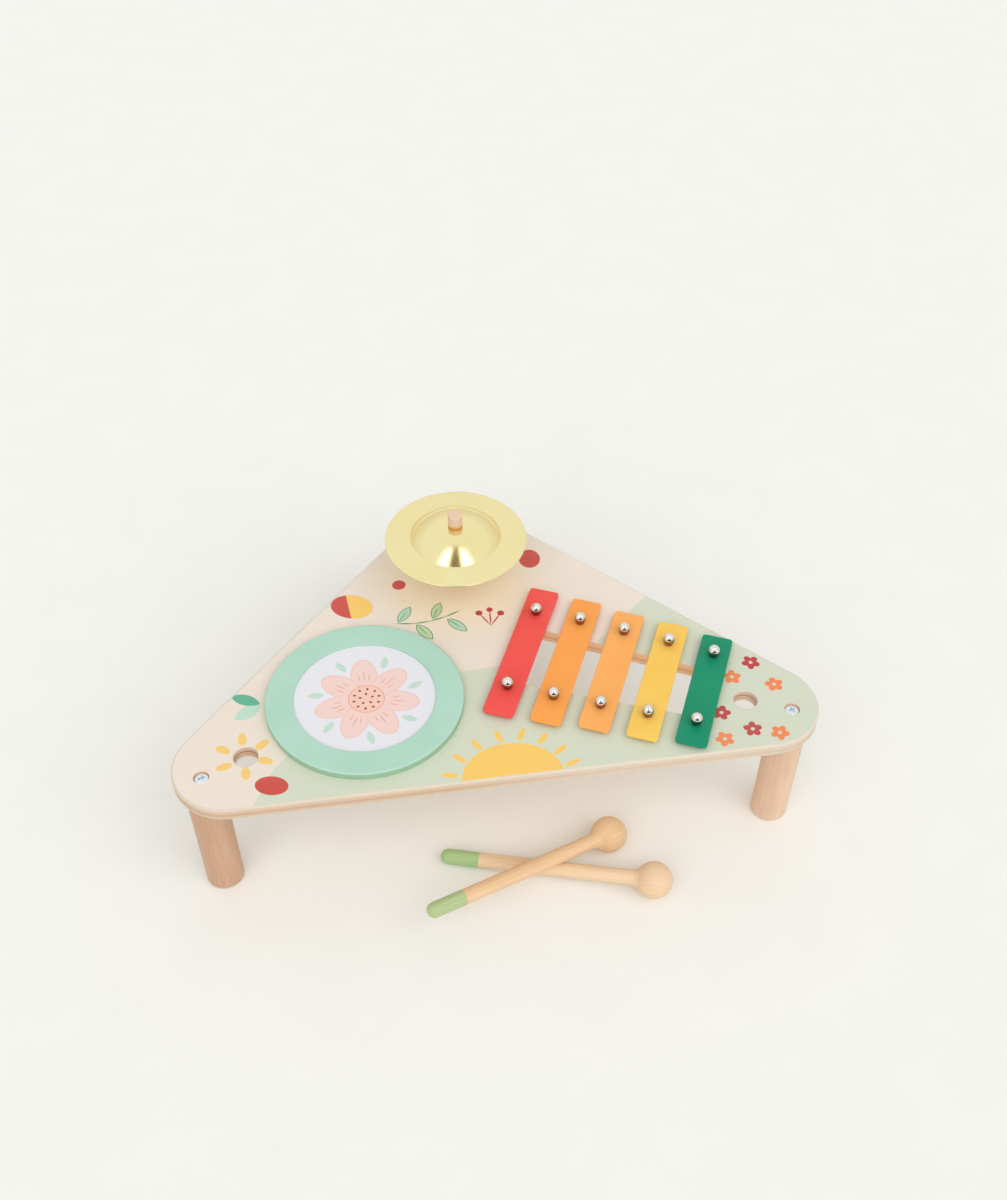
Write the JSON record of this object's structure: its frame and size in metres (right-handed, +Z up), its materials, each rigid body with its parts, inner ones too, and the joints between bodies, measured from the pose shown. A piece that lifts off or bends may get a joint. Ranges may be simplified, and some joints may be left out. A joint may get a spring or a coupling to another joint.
{
  "type": "musical activity table",
  "caption": "Low wooden play table with a drum, a metal-bar xylophone, a rocking cymbal on a post, holes that store its mallets, and the turned mallets lying in front of it.",
  "frame": {"origin": "bottom centre of the whole set's box, on the floor: middle of the board's width, and midway between the foremost mallet tip and the board's back edge", "axes": "+X to the right along the board's long front edge, +Y from that edge to the back corner, +Z up"},
  "size_m": [0.42, 0.3124, 0.1654],
  "materials": {
    "printed_ply": "birch plywood, printed face under satin lacquer",
    "beech": "sanded beech, clear matt lacquer",
    "mallet_beech": "sanded beech with a dipped painted end",
    "mint_paint": "satin paint on wood",
    "drum_film": "satin stretched film, printed",
    "hoop_wood": "bare wood",
    "zinc": "bright zinc plate",
    "insert_brass": "plain turned brass",
    "paint_red": "satin enamel",
    "paint_orange": "satin enamel",
    "paint_apricot": "satin enamel",
    "paint_yellow": "satin enamel",
    "paint_green": "satin enamel",
    "bright_pin": "bright chrome plate",
    "grey_felt": "pressed felt",
    "cymbal_brass": "polished, lacquered",
    "tan_felt": "pressed felt"
  },
  "bodies": {
    "table": {"table_top": "printed_ply", "leg_inserts": "insert_brass", "leg_screws": "zinc", "drum_ring": "mint_paint", "drum_skin": "drum_film", "drum_hoop": "hoop_wood", "drum_ring_screws": "zinc", "cymbal_column": "beech", "cymbal_column_screw": "zinc", "cymbal_rod": "zinc", "cymbal_cap": "beech", "leg_front_left": "beech", "leg_front_right": "beech", "leg_back": "beech", "pads_red": "grey_felt", "pins_red": "bright_pin", "pads_orange": "grey_felt", "pins_orange": "bright_pin", "pads_apricot": "grey_felt", "pins_apricot": "bright_pin", "pads_yellow": "grey_felt", "pins_yellow": "bright_pin", "pads_green": "grey_felt", "pins_green": "bright_pin"},
    "cymbal_lower_washer": {"cymbal_lower_washer": "tan_felt"},
    "cymbal": {"cymbal": "cymbal_brass"},
    "cymbal_upper_washer": {"cymbal_upper_washer": "tan_felt"},
    "mallet_lower": {"mallet_lower": "mallet_beech"},
    "mallet_upper": {"mallet_upper": "mallet_beech"},
    "bar_red": {"bar_red": "paint_red"},
    "bar_orange": {"bar_orange": "paint_orange"},
    "bar_apricot": {"bar_apricot": "paint_apricot"},
    "bar_yellow": {"bar_yellow": "paint_yellow"},
    "bar_green": {"bar_green": "paint_green"}
  },
  "joints": [
    {"name": "bar_red_lift", "type": "slide", "parent": "table", "child": "bar_red", "axis": [0, 0, 1], "range_m": [0, 0.0005]},
    {"name": "bar_orange_lift", "type": "slide", "parent": "table", "child": "bar_orange", "axis": [0, 0, 1], "range_m": [0, 0.0005]},
    {"name": "bar_apricot_lift", "type": "slide", "parent": "table", "child": "bar_apricot", "axis": [0, 0, 1], "range_m": [0, 0.0005]},
    {"name": "bar_yellow_lift", "type": "slide", "parent": "table", "child": "bar_yellow", "axis": [0, 0, 1], "range_m": [0, 0.0005]},
    {"name": "bar_green_lift", "type": "slide", "parent": "table", "child": "bar_green", "axis": [0, 0, 1], "range_m": [0, 0.0005]},
    {"name": "cymbal_rock_x", "type": "hinge", "parent": "table", "child": "cymbal_lower_washer", "pos_m": [-0.0096, 0.07784, 0.1556], "axis": [1, 0, 0], "range_deg": [-3, 3]},
    {"name": "cymbal_rock_y", "type": "hinge", "parent": "cymbal_lower_washer", "child": "cymbal_upper_washer", "pos_m": [-0.0096, 0.07784, 0.1556], "axis": [0, 1, 0], "range_deg": [-3, 3]},
    {"name": "cymbal_spin", "type": "hinge", "parent": "cymbal_upper_washer", "child": "cymbal", "pos_m": [-0.0096, 0.07784, 0.1556], "axis": [0, 0, 1], "continuous": true},
    {"name": "mallet_upper_lift", "type": "slide", "parent": "table", "child": "mallet_upper", "axis": [0, -0.6, 0.8], "range_m": [0, 0.2]},
    {"name": "mallet_lower_draw", "type": "slide", "parent": "table", "child": "mallet_lower", "axis": [0.9492, -0.3148, 0], "range_m": [0, 0.2]}
  ]
}
